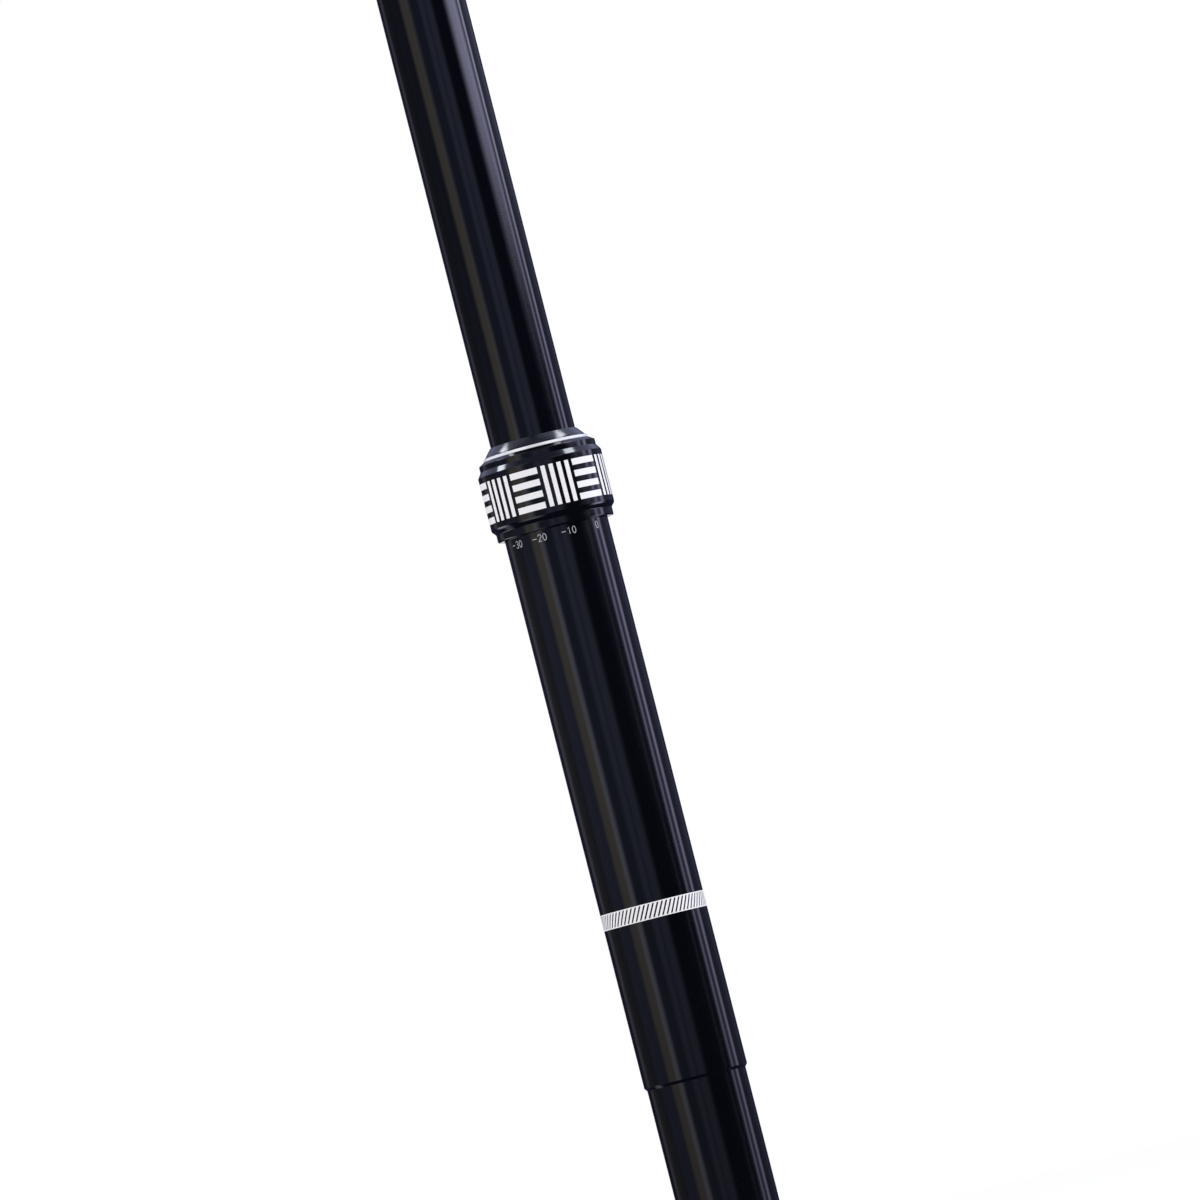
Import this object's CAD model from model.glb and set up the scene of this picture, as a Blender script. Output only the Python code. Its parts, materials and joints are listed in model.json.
import json
import math

import bmesh
import bpy
from mathutils import Matrix, Vector

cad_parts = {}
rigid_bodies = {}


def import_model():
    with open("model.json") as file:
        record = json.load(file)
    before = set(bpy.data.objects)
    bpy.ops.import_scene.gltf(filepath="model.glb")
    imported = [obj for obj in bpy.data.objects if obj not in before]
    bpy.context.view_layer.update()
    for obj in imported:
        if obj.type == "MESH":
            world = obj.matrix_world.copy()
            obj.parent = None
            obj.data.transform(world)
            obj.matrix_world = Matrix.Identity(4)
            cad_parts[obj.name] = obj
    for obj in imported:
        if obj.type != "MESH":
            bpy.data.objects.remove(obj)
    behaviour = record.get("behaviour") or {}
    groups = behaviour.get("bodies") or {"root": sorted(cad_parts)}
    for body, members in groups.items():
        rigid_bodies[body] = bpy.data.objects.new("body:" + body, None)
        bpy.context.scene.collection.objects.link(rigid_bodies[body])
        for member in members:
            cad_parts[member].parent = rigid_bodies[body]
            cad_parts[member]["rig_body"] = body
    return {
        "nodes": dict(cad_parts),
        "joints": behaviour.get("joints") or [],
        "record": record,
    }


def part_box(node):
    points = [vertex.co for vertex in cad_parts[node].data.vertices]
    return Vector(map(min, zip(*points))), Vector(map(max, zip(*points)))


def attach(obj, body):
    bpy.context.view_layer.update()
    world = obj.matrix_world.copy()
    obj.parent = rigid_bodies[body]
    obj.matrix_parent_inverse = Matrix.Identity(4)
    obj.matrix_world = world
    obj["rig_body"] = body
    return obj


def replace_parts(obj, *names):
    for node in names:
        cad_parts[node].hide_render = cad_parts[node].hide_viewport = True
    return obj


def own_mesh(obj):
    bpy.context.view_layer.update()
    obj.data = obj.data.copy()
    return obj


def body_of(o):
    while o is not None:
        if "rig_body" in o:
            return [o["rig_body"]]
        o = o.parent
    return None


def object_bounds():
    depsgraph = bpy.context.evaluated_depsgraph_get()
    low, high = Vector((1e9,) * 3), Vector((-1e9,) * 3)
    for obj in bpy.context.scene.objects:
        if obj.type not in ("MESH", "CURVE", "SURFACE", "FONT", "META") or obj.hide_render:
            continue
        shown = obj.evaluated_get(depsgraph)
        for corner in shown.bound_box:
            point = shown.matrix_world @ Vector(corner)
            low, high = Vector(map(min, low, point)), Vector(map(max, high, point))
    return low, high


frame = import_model()
cad_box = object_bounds()
scene = bpy.context.scene
record = frame["record"]

MM = 0.001
TURN = 2 * math.pi


# Sizes in millimetres, read from the frame or named once here

def lathe_size(node):
    """Radius, lowest and highest z of a turned CAD node"""
    low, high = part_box(node)
    return high.x / MM, low.z / MM, high.z / MM


POST_R = lathe_size("outer_tube")[0]
COLLAR_R = lathe_size("collar")[0]
WIPER_R, WIPER_FOOT, WIPER_TOP = lathe_size("wiper_seal")
STANCHION_R = lathe_size("stanchion")[0]
FLOOR_Z = cad_box[0].z / MM

COLLAR_FOOT = -0.25
RING_R = 17.4
RING_TOP = 2.2
BAND_FOOT = 3.3
BAND_TOP = 19.4
UPPER_RING = 21.0
CONE_FOOT = 22.7
RIM_R = 15.75
RIM_FOOT = 23.72
RIM_TOP = 24.5
RIM_TAPER = 0.25
BAND_LIP = 0.15
BAND_LIP_H = 0.5
POCKET_R = WIPER_R + 0.05
POCKET_FOOT = 18.5
SHELF_R = 13.3
SHELF_FOOT = 15.5
THREAD_TOP = 8.4
COLLAR_BORE = POST_R + 0.1

LIP_R = STANCHION_R + 0.05
UPPER_LIP = 0.8
LOWER_LIP = 0.75
WIPER_BEND = 1.15
WIPER_STEPS = 12

WEAVE_FOOT = 5.5
WEAVE_TOP = 17.65
WEAVE_BLOCKS = 12
WEAVE_BARS = 4
WEAVE_GAP = 0.85
LIMIT_TOP = -112.8
LIMIT_FOOT = -117.5
LIMIT_LINE = 0.3
HATCHES = 72
HATCH_SHARE = 0.6
HATCH_SLANT = 2.1
INK = 0.03

LABELS = ((-48.4, "30"), (-16.9, "20"), (16.4, "10"), (49.8, "0"))
LABEL_MID = -2.35
DIGIT_H = 2.0
DIGIT_W = 1.0
DIGIT_GAP = 0.5
DASH_W = 1.3
DASH_GAP = 0.55
PEN = 0.2

BOLT_OFFSET = 23.0
BOLT_R = 2.5
BOLT_TIP = 12.0
BOLT_SEAT = -24.0
BOLT_HEAD_R = 4.25
BOLT_HEAD_H = 5.0
BOLT_HEAD_ROUND = 0.5
BOLT_HEAD_CHAMFER = 0.2
BOLT_TIP_CHAMFER = 0.6
BOLT_KEY = 4.0
BOLT_SIDES = 36
THREAD_PITCH = 0.8
THREAD_DEPTH = 0.42
THREAD_FOOT = -18.0
THREAD_ROWS = 6

SPRING_D = 5.2
SPRING_WIRE = 0.7
SPRING_TURNS = 5
SPRING_STEPS = 24
WIRE_SIDES = 10


# Shader sockets in sums

class Shade:
    """A socket of a shader tree: sums on it add Math nodes, and node() adds any other node"""

    def __init__(self, tree, socket=None):
        self.tree = tree
        self.socket = socket

    def node(self, kind, settings=None, sockets=None, out=0):
        made = self.tree.nodes.new("ShaderNode" + kind)
        for key, value in (settings or {}).items():
            setattr(made, key, value)
        for key, value in (sockets or {}).items():
            if isinstance(value, Shade):
                self.tree.links.new(value.socket, made.inputs[key])
            else:
                made.inputs[key].default_value = value
        return Shade(self.tree, made.outputs[out] if made.outputs else None)

    def math(self, operation, first, second=0.0):
        return self.node("Math", {"operation": operation}, {0: first, 1: second})

    def __add__(self, other):
        return self.math("ADD", self, other)

    __radd__ = __add__

    def __sub__(self, other):
        return self.math("SUBTRACT", self, other)

    def __rsub__(self, other):
        return self.math("SUBTRACT", other, self)

    def __mul__(self, other):
        return self.math("MULTIPLY", self, other)

    __rmul__ = __mul__

    def between(self, low, high):
        """0 below low, 1 above high and smooth in the middle"""
        sockets = {"Value": self, "From Min": low, "From Max": high}
        return self.node("MapRange", {"interpolation_type": "SMOOTHSTEP"}, sockets)

    def mix(self, low, high):
        """A colour between low (where this is 0) and high (where it is 1)"""
        return self.node("Mix", {"data_type": "RGBA"}, {0: self, 6: low, 7: high}, 2)


def grey(level, blue=1.0):
    return (level, level, level * blue, 1.0)


def new_material(name):
    material = bpy.data.materials.new(name)
    material.use_nodes = True
    material.node_tree.nodes.clear()
    return material, Shade(material.node_tree)


def in_mm(tree, stretch=(1.0, 1.0, 1.0)):
    """Place on the piece in millimetres, stretched along its own axes"""
    place = tree.node("TexCoord", out="Object")
    scale = tuple(part / MM for part in stretch)
    return tree.node("VectorMath", {"operation": "MULTIPLY"}, {0: place, 1: scale})


def grain(tree, stretch, detail=2.0, roughness=0.5):
    """Noise with this many cells in a millimetre along x, y and z"""
    sockets = {"Vector": in_mm(tree, stretch), "Scale": 1.0, "Detail": detail, "Roughness": roughness}
    return tree.node("TexNoise", None, sockets)


def height(tree):
    return tree.node("SeparateXYZ", None, {0: in_mm(tree)}, "Z")


def bump(tree, relief, depth):
    """Normal of a surface with this relief, in millimetres"""
    return tree.node("Bump", None, {"Height": relief, "Distance": depth * MM})


def edges(tree):
    """1 on the outer edges of a piece, 0 on its faces"""
    return tree.node("NewGeometry", out="Pointiness").between(0.505, 0.56)


def surface(material, tree, sockets):
    shader = tree.node("BsdfPrincipled", None, sockets)
    tree.node("OutputMaterial", None, {"Surface": shader})
    return material


SLOTS = {entry["slot"]: entry for entry in record["materials"]}


def slot_colour(slot, share=1.0):
    return tuple(part * share for part in SLOTS[slot]["base_color"]) + (1.0,)


def anodised_tube(slot, roughness, drawn, ground):
    """Black anodised tube: faint drawn lines along it, grinding lines round it, handling smudges"""
    material, tree = new_material(slot)
    lines = grain(tree, (1.6, 1.6, 0.012))
    rounds = grain(tree, (0.02, 0.02, 5.0))
    smudge = grain(tree, (0.05, 0.05, 0.03), 4.0)
    speck = grain(tree, (3.1, 3.1, 3.1), 1.0).between(0.74, 0.8)
    relief = lines * drawn + rounds * ground
    colour = smudge.mix(slot_colour(slot, 0.05), slot_colour(slot, 0.12))
    colour = (speck * 0.5).mix(colour, grey(0.03))
    return surface(material, tree, {
        "Base Color": colour,
        "Roughness": roughness - 0.02 + smudge * 0.04 + speck * 0.2,
        "Normal": bump(tree, relief, 0.004),
    })


def anodised_collar():
    """Gloss black collar with a bright cut rim"""
    material, tree = new_material("collar_anodise")
    z = height(tree)
    rim = z.between(RIM_FOOT - 0.06, RIM_FOOT + 0.02)
    rounds = grain(tree, (0.02, 0.02, 9.0))
    blast = grain(tree, (9.0, 9.0, 9.0), 1.0)
    smudge = grain(tree, (0.09, 0.09, 0.09), 4.0)
    black = smudge.mix(slot_colour("collar_anodise", 0.06), slot_colour("collar_anodise", 0.14))
    return surface(material, tree, {
        "Base Color": rim.mix(black, grey(0.9, 1.02)),
        "Metallic": rim * 0.25,
        "Roughness": 0.08 + smudge * 0.06 + rim * 0.2,
        "Normal": bump(tree, rounds * 0.7 + blast * 0.15, 0.004),
    })


def forged(slot, roughness, blast):
    """Blasted and anodised alloy with edges rubbed a little paler"""
    material, tree = new_material(slot)
    grit = grain(tree, (blast, blast, blast), 2.0)
    smudge = grain(tree, (0.12, 0.12, 0.12), 4.0)
    worn = edges(tree) * smudge.between(0.35, 0.65)
    black = smudge.mix(slot_colour(slot, 1.1), slot_colour(slot, 1.9))
    return surface(material, tree, {
        "Base Color": (worn * 0.5).mix(black, grey(0.11)),
        "Roughness": roughness - 0.05 + smudge * 0.1,
        "Normal": bump(tree, grit, 0.012),
    })


def metal(slot, roughness, cut):
    """Bare or oxidised metal with fine tool lines and a few dull patches"""
    material, tree = new_material(slot)
    lines = grain(tree, cut, 3.0)
    patch = grain(tree, (0.2, 0.2, 0.2), 4.0)
    worn = edges(tree)
    colour = patch.mix(slot_colour(slot, 0.75), slot_colour(slot))
    return surface(material, tree, {
        "Base Color": (worn * 0.4).mix(colour, grey(0.7)),
        "Metallic": 1.0,
        "Roughness": roughness - 0.06 + patch * 0.12,
        "Normal": bump(tree, lines, 0.005),
    })


def moulded(slot, roughness, grit):
    """Rubber or bearing polymer with a fine moulded skin"""
    material, tree = new_material(slot)
    skin = grain(tree, (grit, grit, grit), 3.0)
    bloom = grain(tree, (0.15, 0.15, 0.3), 4.0)
    return surface(material, tree, {
        "Base Color": bloom.mix(slot_colour(slot, 0.25), slot_colour(slot, 0.6)),
        "Roughness": roughness - 0.06 + bloom * 0.12,
        "Normal": bump(tree, skin, 0.01),
    })


def ink(name, tone):
    """Printed white: very slightly uneven, dull on the gloss of the metal"""
    material, tree = new_material(name)
    cover = grain(tree, (2.5, 2.5, 2.5), 3.0)
    pale = tuple(part * 0.93 for part in tone[:3]) + (1.0,)
    return surface(material, tree, {
        "Base Color": cover.mix(pale, tone),
        "Roughness": 0.42 + cover * 0.1,
        "Normal": bump(tree, cover, 0.006),
    })


AROUND_Z = (0.05, 0.05, 9.0)
ALL_WAYS = (3.0, 3.0, 3.0)

finishes = {
    "barrel_anodise": anodised_tube("barrel_anodise", 0.1, 0.8, 0.2),
    "stanchion_anodise": anodised_tube("stanchion_anodise", 0.075, 0.3, 0.4),
    "collar_anodise": anodised_collar(),
    "wiper_rubber": moulded("wiper_rubber", 0.155, 5.0),
    "stop_rubber": moulded("stop_rubber", 0.5, 4.0),
    "bush_polymer": moulded("bush_polymer", 0.45, 4.0),
    "brass": metal("brass", 0.3, AROUND_Z),
    "steel": metal("steel", 0.3, AROUND_Z),
    "hard_chrome": metal("hard_chrome", 0.12, AROUND_Z),
    "plain_alloy": metal("plain_alloy", 0.32, (2.0, 2.0, 0.05)),
    "actuator_anodise": forged("actuator_anodise", 0.36, 5.0),
    "lever_steel": metal("lever_steel", 0.34, (0.4, 6.0, 0.4)),
    "head_anodise": forged("head_anodise", 0.38, 4.0),
    "bolt_steel": metal("bolt_steel", 0.36, ALL_WAYS),
    "nut_steel": metal("nut_steel", 0.3, (6.0, 0.1, 6.0)),
}
white_ink = ink("white_ink", (0.93, 0.92, 0.945, 1.0))
scale_ink = ink("scale_ink", (0.52, 0.52, 0.56, 1.0))

for part in record["subparts"]:
    data = frame["nodes"][part["node"]].data
    data.materials.clear()
    data.materials.append(finishes[part["material_slot"]])


# Pieces made here

def piece(name, mesh, body, material):
    """A mesh that rides a body, smooth but for its hard edges"""
    bmesh.ops.recalc_face_normals(mesh, faces=mesh.faces)
    data = bpy.data.meshes.new(name)
    mesh.to_mesh(data)
    mesh.free()
    data.shade_smooth()
    data.set_sharp_from_angle(angle=math.radians(40))
    data.materials.append(material)
    made = bpy.data.objects.new(name, data)
    scene.collection.objects.link(made)
    even = made.modifiers.new("even_normals", "WEIGHTED_NORMAL")
    even.keep_sharp = True
    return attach(made, body)


def skin(mesh, rings, closed):
    """Faces over rings of points in millimetres, closed on themselves or capped at both ends"""
    rows = [[mesh.verts.new(Vector(point) * MM) for point in ring] for ring in rings]
    for low, high in zip(rows, rows[1:] + rows[:1] if closed else rows[1:]):
        for here in range(len(low)):
            after = (here + 1) % len(low)
            mesh.faces.new((low[here], low[after], high[after], high[here]))
    if not closed:
        mesh.faces.new(rows[0])
        mesh.faces.new(rows[-1])


def on_tube(angle, r, z):
    return (r * math.sin(angle), -r * math.cos(angle), z)


def rounded(corners, bends=5):
    """A closed outline through (r, z, rounding) corners, each drawn as an arc"""
    outline = []
    for before, corner, after in zip(corners[-1:] + corners[:-1], corners, corners[1:] + corners[:1]):
        here = Vector(corner[:2])
        if not corner[2]:
            outline.append(here)
            continue
        back = (Vector(before[:2]) - here).normalized()
        on = (Vector(after[:2]) - here).normalized()
        half = back.angle(on) / 2
        centre = here + (back + on).normalized() * corner[2] / math.sin(half)
        start = here + back * corner[2] / math.tan(half) - centre
        end = here + on * corner[2] / math.tan(half) - centre
        for bend in range(bends + 1):
            outline.append(centre + start.lerp(end, bend / bends).normalized() * corner[2])
    return outline


def turned(name, outline, body, material, steps=180):
    """A ring turned from an outline of (r, z)"""
    mesh = bmesh.new()
    turns = [TURN * step / steps for step in range(steps)]
    skin(mesh, [[on_tube(turn, r, z) for turn in turns] for r, z in outline], True)
    return piece(name, mesh, body, material)


collar_outline = rounded([
    (COLLAR_BORE, COLLAR_FOOT, 0.15),
    (RING_R, COLLAR_FOOT, 0.45),
    (RING_R, RING_TOP, 0.25),
    (COLLAR_R - BAND_LIP, BAND_FOOT, 0.15),
    (COLLAR_R, BAND_FOOT + BAND_LIP_H, 0.3),
    (COLLAR_R, BAND_TOP, 0.35),
    (RING_R, UPPER_RING, 0.12),
    (RING_R, CONE_FOOT, 0.3),
    (RIM_R, RIM_FOOT, 0.06),
    (RIM_R - RIM_TAPER, RIM_TOP, 0.05),
    (POCKET_R, RIM_TOP, 0.03),
    (POCKET_R, POCKET_FOOT, 0),
    (SHELF_R, POCKET_FOOT, 0),
    (SHELF_R, SHELF_FOOT, 0),
    (POCKET_R, SHELF_FOOT, 0),
    (POCKET_R, THREAD_TOP, 0),
    (COLLAR_BORE, THREAD_TOP, 0),
])
collar = turned("turned_collar", collar_outline, "screw_collar", finishes["collar_anodise"])
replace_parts(collar, "collar")

slope = [step / WIPER_STEPS for step in range(WIPER_STEPS)]
wiper_outline = [
    (LIP_R, WIPER_FOOT), (WIPER_R, WIPER_FOOT),
    (WIPER_R, RIM_TOP - 0.1),
    *[(WIPER_R - 0.05 - (WIPER_R - LIP_R - 0.3) * step,
       RIM_TOP + (WIPER_TOP - RIM_TOP - 0.05) * step ** (1 / WIPER_BEND)) for step in slope],
    (LIP_R + 0.22, WIPER_TOP - 0.02), (LIP_R + 0.08, WIPER_TOP - 0.07), (LIP_R, WIPER_TOP - 0.2),
    (LIP_R, WIPER_TOP - UPPER_LIP), (SHELF_R, WIPER_TOP - 2 * UPPER_LIP),
    (SHELF_R, WIPER_FOOT + LOWER_LIP + UPPER_LIP), (LIP_R, WIPER_FOOT + LOWER_LIP),
]
wiper = turned("domed_wiper", wiper_outline, "wiper", finishes["wiper_rubber"])
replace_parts(wiper, "wiper_seal")


# Printing on the collar and the tube

def ribbon(mesh, pairs, r, closed=False):
    """A thin strip of ink on a tube: pairs hold its two sides as (mm round the tube, z)"""
    rings = []
    for left, right in pairs:
        rings.append([on_tube(side[0] / r, r + lift, side[1]) for side, lift in (
            (left, -INK), (right, -INK), (right, INK), (left, INK))])
    skin(mesh, rings, closed)


def bar(mesh, low, high, r, slant=0.0, chord=1.0):
    """A bar of ink from corner low to corner high; slant carries its top sideways"""
    if slant:
        steps = 5
        rows = [low[1] + (high[1] - low[1]) * step / steps for step in range(steps + 1)]
        shift = [slant * step / steps for step in range(steps + 1)]
        ribbon(mesh, [((low[0] + s, z), (high[0] + s, z)) for s, z in zip(shift, rows)], r)
        return
    steps = max(1, math.ceil((high[0] - low[0]) / chord))
    across = [low[0] + (high[0] - low[0]) * step / steps for step in range(steps + 1)]
    ribbon(mesh, [((u, high[1]), (u, low[1])) for u in across], r)


def weave():
    """Blocks of upright and level bars in turn, all the way round the collar's band"""
    mesh = bmesh.new()
    block = TURN * COLLAR_R / WEAVE_BLOCKS
    tall = WEAVE_TOP - WEAVE_FOOT
    step = 1 + WEAVE_GAP
    level_h = tall / (WEAVE_BARS + (WEAVE_BARS - 1) * WEAVE_GAP)
    upright_w = block / (WEAVE_BARS * step)
    for number in range(WEAVE_BLOCKS):
        start = number * block
        end = start + block - upright_w * WEAVE_GAP
        for count in range(WEAVE_BARS):
            if number % 2:
                foot = WEAVE_FOOT + count * level_h * step
                bar(mesh, (start, foot), (end, foot + level_h), COLLAR_R)
            else:
                left = start + count * upright_w * step
                bar(mesh, (left, WEAVE_FOOT), (left + upright_w, WEAVE_TOP), COLLAR_R)
    return piece("collar_weave", mesh, "screw_collar", white_ink)


def limit_band():
    """The pale insertion limit: slanted hatching between two thin lines"""
    mesh = bmesh.new()
    round_post = TURN * POST_R
    pitch = round_post / HATCHES
    foot = LIMIT_FOOT + LIMIT_LINE
    top = LIMIT_TOP - LIMIT_LINE
    for number in range(HATCHES):
        left = number * pitch
        bar(mesh, (left, foot), (left + pitch * HATCH_SHARE, top), POST_R, HATCH_SLANT)
    steps = 120
    turns = [round_post * step / steps for step in range(steps)]
    for low in (LIMIT_FOOT, top):
        ribbon(mesh, [((u, low + LIMIT_LINE), (u, low)) for u in turns], POST_R, True)
    return piece("insertion_limit", mesh, "outer_post", white_ink)


def arc(centre, rx, ry, start, end, steps=14):
    angles = [math.radians(start + (end - start) * step / steps) for step in range(steps + 1)]
    return [(centre[0] + rx * math.cos(a), centre[1] + ry * math.sin(a)) for a in angles]


def digit_path(digit):
    """The pen's path for a digit, and whether it closes on itself"""
    w, h = DIGIT_W, DIGIT_H
    if digit == "0":
        return arc((w / 2, h / 2), w / 2, h / 2, 0, 360, 28)[:-1], True
    if digit == "1":
        return [(0.15 * w, 0.78 * h), (0.55 * w, h), (0.55 * w, 0)], False
    if digit == "2":
        top = arc((w / 2, h - w / 2), w / 2, w / 2, 170, -35)
        return top + [(0, 0), (w, 0)], False
    upper = arc((w / 2, 0.74 * h), 0.44 * w, 0.26 * h, 160, -88)
    lower = arc((w / 2, 0.25 * h), 0.5 * w, 0.27 * h, 84, -160)
    return upper + lower, False


def pen_line(path, closed):
    """The two sides of a pen's line along a path"""
    points = [Vector(point) for point in path]
    last = len(points) - 1
    pairs = []
    for number, here in enumerate(points):
        before = points[number - 1] if number or closed else here
        after = points[(number + 1) % len(points)] if number < last or closed else here
        come = (here - before).normalized()
        go = (after - here).normalized()
        along = (come + go).normalized()
        mitre = max(0.6, along.dot(go if go.length else come))
        across = Vector((-along.y, along.x)) * PEN / 2 / mitre
        pairs.append((here + across, here - across))
    return pairs


def travel_scale():
    """The row of plain numbers under the collar, each with its dash"""
    mesh = bmesh.new()
    for angle, text in LABELS:
        wide = len(text) * DIGIT_W + (len(text) - 1) * DIGIT_GAP
        left = math.radians(angle) * POST_R - wide / 2
        foot = LABEL_MID - DIGIT_H / 2
        strokes = [digit_path(digit) for digit in text]
        starts = [left + place * (DIGIT_W + DIGIT_GAP) for place in range(len(text))]
        if text != "0":
            strokes.append(([(0, DIGIT_H / 2), (DASH_W, DIGIT_H / 2)], False))
            starts.append(left - DASH_W - DASH_GAP)
        for (path, closed), start in zip(strokes, starts):
            moved = [(start + u, foot + v) for u, v in path]
            ribbon(mesh, pen_line(moved, closed), POST_R, closed)
    return piece("travel_scale", mesh, "outer_post", scale_ink)


weave()
limit_band()
travel_scale()


# Clamp bolts with cut threads and hexagon sockets

rail = next(mount for mount in record["mounts"] if mount["name"] == "left_rail")
head_x = Vector(rail["axis"])
head_y = Vector((0, 1, 0))
head_z = head_x.cross(head_y)
HEAD_MID = Vector((0, 0, rail["pos_m"][2])) / MM


def clamp_bolt(name, side):
    mesh = bmesh.new()
    turns = [TURN * step / BOLT_SIDES for step in range(BOLT_SIDES)]

    def place(x, y, z):
        return HEAD_MID + head_x * (side * BOLT_OFFSET + x) + head_y * y + head_z * z

    def circle(r, z):
        return [place(r * math.cos(a), r * math.sin(a), z) for a in turns]

    def hexagon(z):
        flat = BOLT_KEY / 2
        reach = [flat / math.cos((a + TURN / 12) % (TURN / 6) - TURN / 12) for a in turns]
        return [place(r * math.cos(a), r * math.sin(a), z) for r, a in zip(reach, turns)]

    def threaded(z):
        ring = []
        for a in turns:
            phase = (z / THREAD_PITCH - a / TURN) % 1
            depth = THREAD_DEPTH * abs(2 * phase - 1)
            run_out = min(1, max(0, (z - THREAD_FOOT) / THREAD_PITCH))
            tip = max(0, z - BOLT_TIP + BOLT_TIP_CHAMFER)
            r = BOLT_R - max(depth * run_out, tip)
            ring.append(place(r * math.cos(a), r * math.sin(a), z))
        return ring

    key_floor = BOLT_SEAT - BOLT_HEAD_H / 2
    head_foot = BOLT_SEAT - BOLT_HEAD_H
    bend = BOLT_HEAD_ROUND
    chamfer = BOLT_HEAD_CHAMFER
    rings = [
        hexagon(key_floor),
        hexagon(head_foot + chamfer),
        circle(BOLT_KEY / 2 + bend, head_foot),
        circle(BOLT_HEAD_R - bend, head_foot),
        circle(BOLT_HEAD_R - 0.3 * bend, head_foot + 0.24 * bend),
        circle(BOLT_HEAD_R, head_foot + 0.9 * bend),
        circle(BOLT_HEAD_R, BOLT_SEAT - chamfer),
        circle(BOLT_HEAD_R - chamfer, BOLT_SEAT),
        circle(BOLT_R, BOLT_SEAT),
        circle(BOLT_R, THREAD_FOOT - 0.1),
    ]
    rows = math.ceil((BOLT_TIP - THREAD_FOOT) / THREAD_PITCH * THREAD_ROWS)
    rings += [threaded(THREAD_FOOT + (BOLT_TIP - THREAD_FOOT) * row / rows) for row in range(rows + 1)]
    skin(mesh, rings, False)
    made = piece(name, mesh, "sliding_post", finishes["bolt_steel"])
    return made


for name, side in (("front_clamp_bolt", 1), ("rear_clamp_bolt", -1)):
    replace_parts(clamp_bolt(name, side), "clamp_bolts")


# Valve spring

def coiled_spring():
    """The valve spring of round wire, which shortens as the pin comes up"""
    foot, top = (corner.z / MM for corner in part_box("valve_spring"))
    push = next(joint for joint in frame["joints"] if joint["name"] == "pin_push")
    travel = max(push["range_m"]) / MM
    mesh = bmesh.new()
    wire = SPRING_WIRE / 2
    steps = SPRING_STEPS * SPRING_TURNS
    rings = []
    for step in range(steps + 1):
        turn = TURN * SPRING_TURNS * step / steps
        middle = foot + wire + (top - foot - SPRING_WIRE) * step / steps
        ring = []
        for side in range(WIRE_SIDES):
            a = TURN * side / WIRE_SIDES
            r = SPRING_D / 2 + wire * math.cos(a)
            ring.append((r * math.cos(turn), r * math.sin(turn), middle + wire * math.sin(a)))
        rings.append(ring)
    skin(mesh, rings, False)
    made = piece("coiled_spring", mesh, "outer_post", finishes["steel"])
    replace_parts(made, "valve_spring")
    1 - travel / (top - foot)
    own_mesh(made)


coiled_spring()


# Forged and cut pieces with their edges rounded off

def rounded_off(name, node, cell, passes, keep):
    """A copy of a CAD node, filled with small cells and smoothed so that every edge has a radius"""
    cad = frame["nodes"][node]
    slot = next(part["material_slot"] for part in record["subparts"] if part["node"] == node)
    mesh = bmesh.new()
    mesh.from_mesh(cad.data)
    bmesh.ops.remove_doubles(mesh, verts=mesh.verts, dist=0.001 * MM)
    data = bpy.data.meshes.new(name)
    mesh.to_mesh(data)
    mesh.free()
    data.materials.append(finishes[slot])
    made = bpy.data.objects.new(name, data)
    scene.collection.objects.link(made)
    cells = made.modifiers.new("cells", "REMESH")
    cells.mode = "VOXEL"
    cells.voxel_size = cell * MM
    cells.use_smooth_shade = True
    smooth = made.modifiers.new("smooth", "SMOOTH")
    smooth.iterations = passes
    fewer = made.modifiers.new("fewer", "DECIMATE")
    fewer.ratio = keep
    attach(made, body_of(cad)[0])
    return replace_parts(made, node)


rounded_off("forged_head", "saddle_head", 0.4, 6, 0.35)
rounded_off("forged_cradle", "lower_cradle", 0.35, 5, 0.35)
rounded_off("forged_clamp", "upper_clamp", 0.35, 5, 0.35)
rounded_off("cut_front_nut", "front_barrel_nut", 0.2, 4, 0.35)
rounded_off("cut_rear_nut", "rear_barrel_nut", 0.2, 4, 0.35)
rounded_off("cast_actuator", "actuator_housing", 0.3, 5, 0.35)
rounded_off("pressed_lever", "release_lever", 0.15, 5, 0.35)
rounded_off("turned_pivot", "lever_pivot", 0.12, 4, 0.35)


# Studio: white floor and surround, soft panels, and cards that the dark metal mirrors

# Heights of a mirrored direction between which the surround changes
NEAR_FLOOR = (-0.02, 0.05)
LEFT_CHANGE = (0.056, 0.068)
RIGHT_CHANGE = (0.077, 0.1)
CEILING_CHANGE = (0.15, 0.4)
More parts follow.
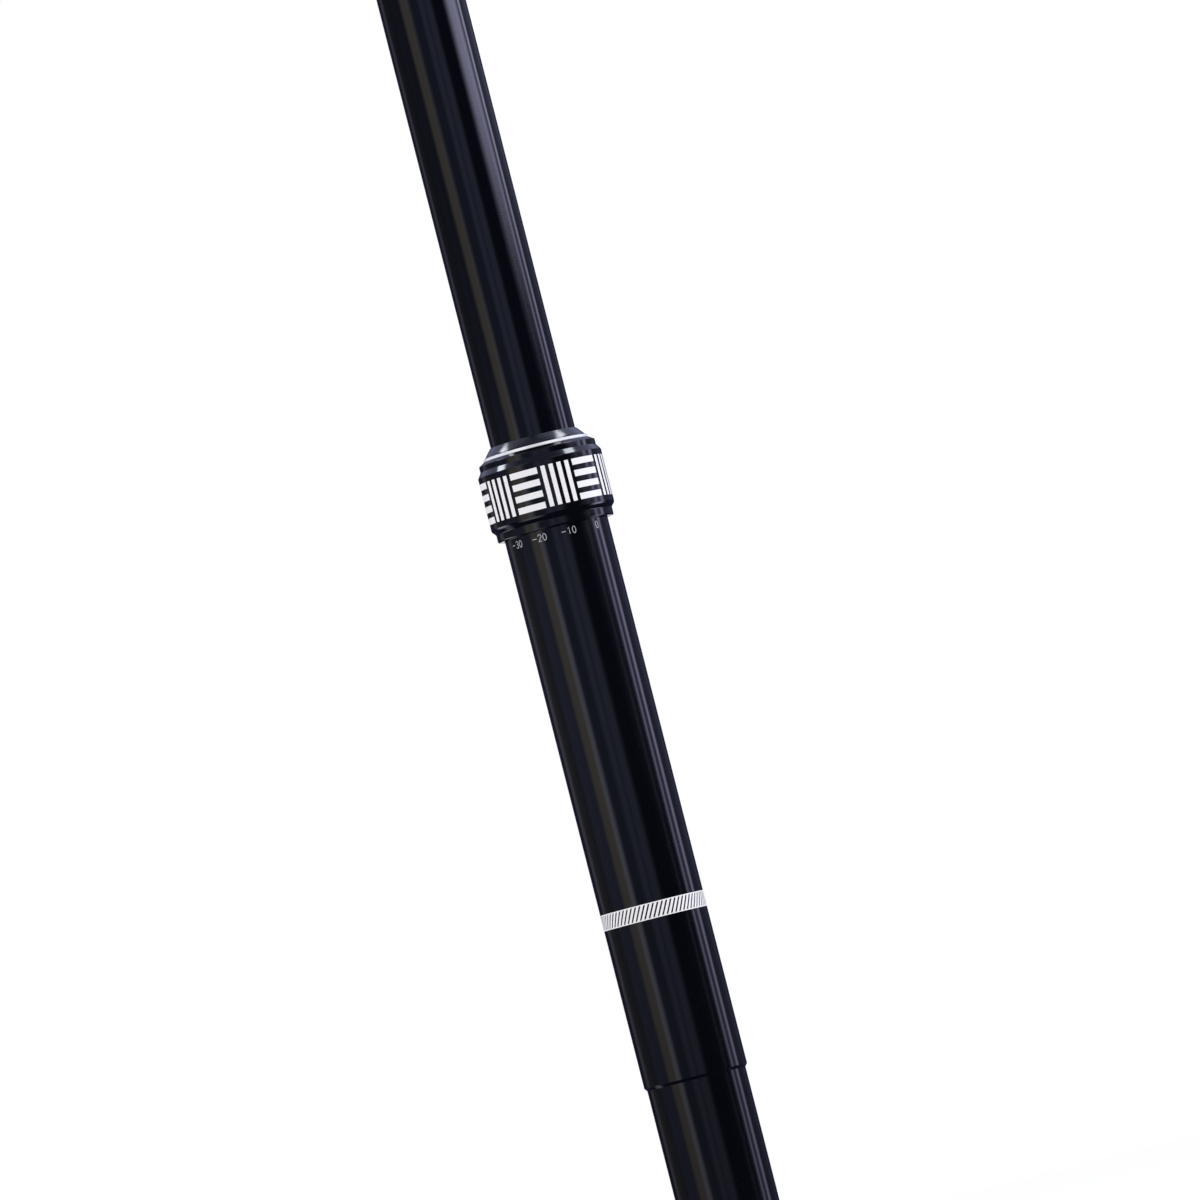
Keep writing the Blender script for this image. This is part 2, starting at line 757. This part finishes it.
# The same as depths below level, and as the reach straight back from the camera
LOW_CHANGE = (0.03, 0.1)
FLOOR_CHANGE = (0.55, 0.75)
STRAIGHT_BACK = (0.994, 0.998)
ROOM = (0.03, 0.035, 0.085)
CARDS = (
    # name, azimuth, half width and soft edge in degrees, colour, share low down and share high up
    ("left wall", -93.5, 28.5, 10, (0.11, 0.11, 0.1), 1, 0.4),
    ("left front wall", -16.5, 38.5, 10, (0.11, 0.11, 0.1), 1, 0.75),
    ("front wall", -3, 22, 8, (0.01, 0.03, 0.12), 1, 1),
    ("right back wall", 132, 14, 14, (0.09, 0.095, 0.14), 1, 2.1),
    ("left back card", -132, 3, 8, (0.26, 0.24, 0.23), 1, 0.7),
    ("left blue card", -77, 8, 14, (0.1, 0.12, 0.28), 1, 0.2),
    ("left warm card", -50, 6, 10, (0.63, 0.57, 0.45), 1, 0.9),
    ("left pale strip", -36.5, 1, 8, (0.9, 0.92, 1.25), 1, 0.28),
    ("front left card", -3, 2, 9, (0.18, 0.19, 0.28), 1, 1),
    ("front right card", 15, 4, 8, (0.16, 0.17, 0.25), 1, 1),
    ("right dim strip", 73.5, 0.5, 5, (0.14, 0.15, 0.2), 1, 0),
    ("right card", 101, 12, 5, (0.28, 0.28, 0.55), 1, 0.8),
    ("right front strip", 93, 1.2, 3.5, (1.4, 1.4, 1.9), 1, 0.15),
    ("right back strip", 109.5, 1.5, 4.5, (1.6, 1.6, 2.1), 1, 1.8),
    ("right high card", 81, 5, 22, (3.3, 3.3, 4.75), 0, 1),
)
CEILING = (0.2, 0.22, 0.36)
SOFTBOXES = (
    ("left softbox", -120, 22, 38, (0.34, 0.35, 0.5), 1, 1),
    ("right softbox", 120, 25, 35, (0.42, 0.45, 0.66), 1, 1),
)
LOW_CARDS = (
    ("front low softbox", -42, 5, 30, (1.3, 1.27, 1.4), 1, 1),
    ("right low strip", 100, 4, 18, (3.0, 3.0, 4.0), 1, 1),
    ("back low softbox", -112, 5, 18, (2.2, 2.2, 2.7), 1, 1),
)


def mirrored(tree, place, light, cards):
    """A plain light for the metal to mirror, with cards round it, 0 on the camera's side and 90 on its right"""
    x, y, z = (tree.node("SeparateXYZ", None, {0: place}, axis) for axis in "XYZ")
    azimuth = tree.math("ARCTAN2", x, 0 - y) * (360 / TURN)
    left_up, right_up = (z.between(*heights) for heights in (LEFT_CHANGE, RIGHT_CHANGE))
    for _, middle, half, soft, colour, low, high in cards:
        shown = 1 - tree.math("ABSOLUTE", azimuth - middle).between(half, half + soft)
        if low != high:
            shown = shown * (low + (left_up if middle < 0 else right_up) * (high - low))
        light = tree.node("VectorMath", {"operation": "MULTIPLY_ADD"}, {0: colour, 1: shown, 2: light})
    return light


def studio_surround():
    """White behind for the camera, the cards in reflections, even light elsewhere"""
    world = bpy.data.worlds.new("studio")
    scene.world = world
    world.use_nodes = True
    world.node_tree.nodes.clear()
    tree = Shade(world.node_tree)
    rays = tree.node("LightPath").socket.node.outputs
    kinds = ("Camera", "Glossy", "Transmission")
    camera, glossy, through = (Shade(tree.tree, rays["Is " + kind + " Ray"]) for kind in kinds)
    toward = tree.node("TexCoord", out="Generated")
    y, z = (tree.node("SeparateXYZ", None, {0: toward}, axis) for axis in "YZ")
    dimmed = {0: mirrored(tree, toward, ROOM, CARDS), "Scale": 0.55 + 0.45 * z.between(*NEAR_FLOOR)}
    sides = tree.node("VectorMath", {"operation": "SCALE"}, dimmed)
    room = z.between(*CEILING_CHANGE).mix(sides, mirrored(tree, toward, CEILING, SOFTBOXES))
    down = 0 - z
    low_side = mirrored(tree, toward, ROOM, LOW_CARDS)
    low_side = down.between(*FLOOR_CHANGE).mix(low_side, ROOM + (1.0,))
    room = down.between(*LOW_CHANGE).mix(room, low_side)
    room = y.between(*STRAIGHT_BACK).mix(room, grey(1.0))
    white = tree.math("MAXIMUM", camera, through)
    plain = tree.node("Background", None, {"Color": white.mix(grey(0.74), grey(1.0)), "Strength": 1.0})
    cards = tree.node("Background", None, {"Color": room, "Strength": 1.0})
    shown = tree.node("MixShader", None, {0: glossy, 1: plain, 2: cards})
    tree.node("OutputWorld", None, {"Surface": shown})


def lamp(name, azimuth, distance, z, wide, tall, radiance, colour=(1, 1, 1)):
    """A soft panel facing the collar, at an azimuth from the camera's side (right is plus)"""
    data = bpy.data.lights.new(name, "AREA")
    data.shape = "RECTANGLE"
    data.size, data.size_y = wide, tall
    data.energy = radiance * math.pi * wide * tall
    data.color = colour
    made = bpy.data.objects.new(name, data)
    scene.collection.objects.link(made)
    angle = math.radians(azimuth)
    made.location = (distance * math.sin(angle), -distance * math.cos(angle), z)
    made.rotation_mode = "QUATERNION"
    made.rotation_quaternion = (-made.location).to_track_quat("-Z", "Y")
    made.visible_camera = False
    return made


studio_surround()
LILAC = (0.77, 0.76, 1.0)
BLUISH = (0.88, 0.94, 1.0)
WARM = (1.0, 0.98, 0.95)
lamp("right_panel", 89, 1.4, 0.6, 1.45, 0.9, 1.2, LILAC).visible_glossy = False
lamp("right_top_spot", 103, 0.85, 1.25, 0.6, 0.26, 11.5, BLUISH)
lamp("left_top_spot", -112, 0.95, 1.15, 0.4, 0.26, 13.0, BLUISH)
lamp("front_left_panel", -42, 1.3, 1.05, 0.8, 0.8, 1.3, WARM)
lamp("front_right_panel", 42, 1.3, 1.05, 0.7, 0.7, 1.1)
lamp("back_top_panel", 180, 1.2, 1.5, 0.8, 0.8, 1.2)


FLOOR_R = 3.8
FLOOR_FADE = (1.2, 3.6)
FLOOR_GAP = 0.0002


def floor():
    """A white disc that keeps the shadow and fades into the surround, and that the metal doesn't mirror"""
    material, tree = new_material("white_floor")
    place = tree.node("TexCoord", out="Object")
    across = tree.node("VectorMath", {"operation": "LENGTH"}, {0: place}, "Value")
    camera = tree.node("LightPath", out="Is Camera Ray")
    mottle = grain(tree, (0.02, 0.02, 0.02), 2.0)
    paper = tree.node("BsdfDiffuse", None, {"Color": mottle.mix(grey(0.86), grey(0.88))})
    glow = tree.node("Emission", None, {"Color": grey(1.0), "Strength": 1.15})
    share = camera * (0.5 + 0.5 * across.between(*FLOOR_FADE))
    shown = tree.node("MixShader", None, {0: share, 1: paper, 2: glow})
    tree.node("OutputMaterial", None, {"Surface": shown})
    mesh = bmesh.new()
    bmesh.ops.create_circle(mesh, cap_ends=True, segments=96, radius=FLOOR_R)
    data = bpy.data.meshes.new("floor")
    mesh.to_mesh(data)
    mesh.free()
    data.materials.append(material)
    made = bpy.data.objects.new("floor", data)
    made.location.z = FLOOR_Z * MM - FLOOR_GAP
    made.visible_glossy = False
    scene.collection.objects.link(made)


floor()


# Camera: close up on the collar, the post leaning to the left

LEAN = math.radians(14.32)
AIM = Vector((7.29, 0, -23.43)) * MM
CAMERA_AT = Vector((AIM.x, -3.0, -0.165))
SEEN_WIDTH = 1200 / 3.428 * MM


def camera():
    data = bpy.data.cameras.new("camera")
    made = bpy.data.objects.new("camera", data)
    scene.collection.objects.link(made)
    ahead = (AIM - CAMERA_AT).normalized()
    level = ahead.cross(Vector((0, 0, 1))).normalized()
    upright = level.cross(ahead)
    right = level * math.cos(LEAN) - upright * math.sin(LEAN)
    up = level * math.sin(LEAN) + upright * math.cos(LEAN)
    turn = Matrix((right, up, -ahead)).transposed()
    made.matrix_world = Matrix.Translation(CAMERA_AT) @ turn.to_4x4()
    data.sensor_width = 36
    data.lens = data.sensor_width * (AIM - CAMERA_AT).length / SEEN_WIDTH
    scene.camera = made


camera()
scene.view_settings.view_transform = "Standard"
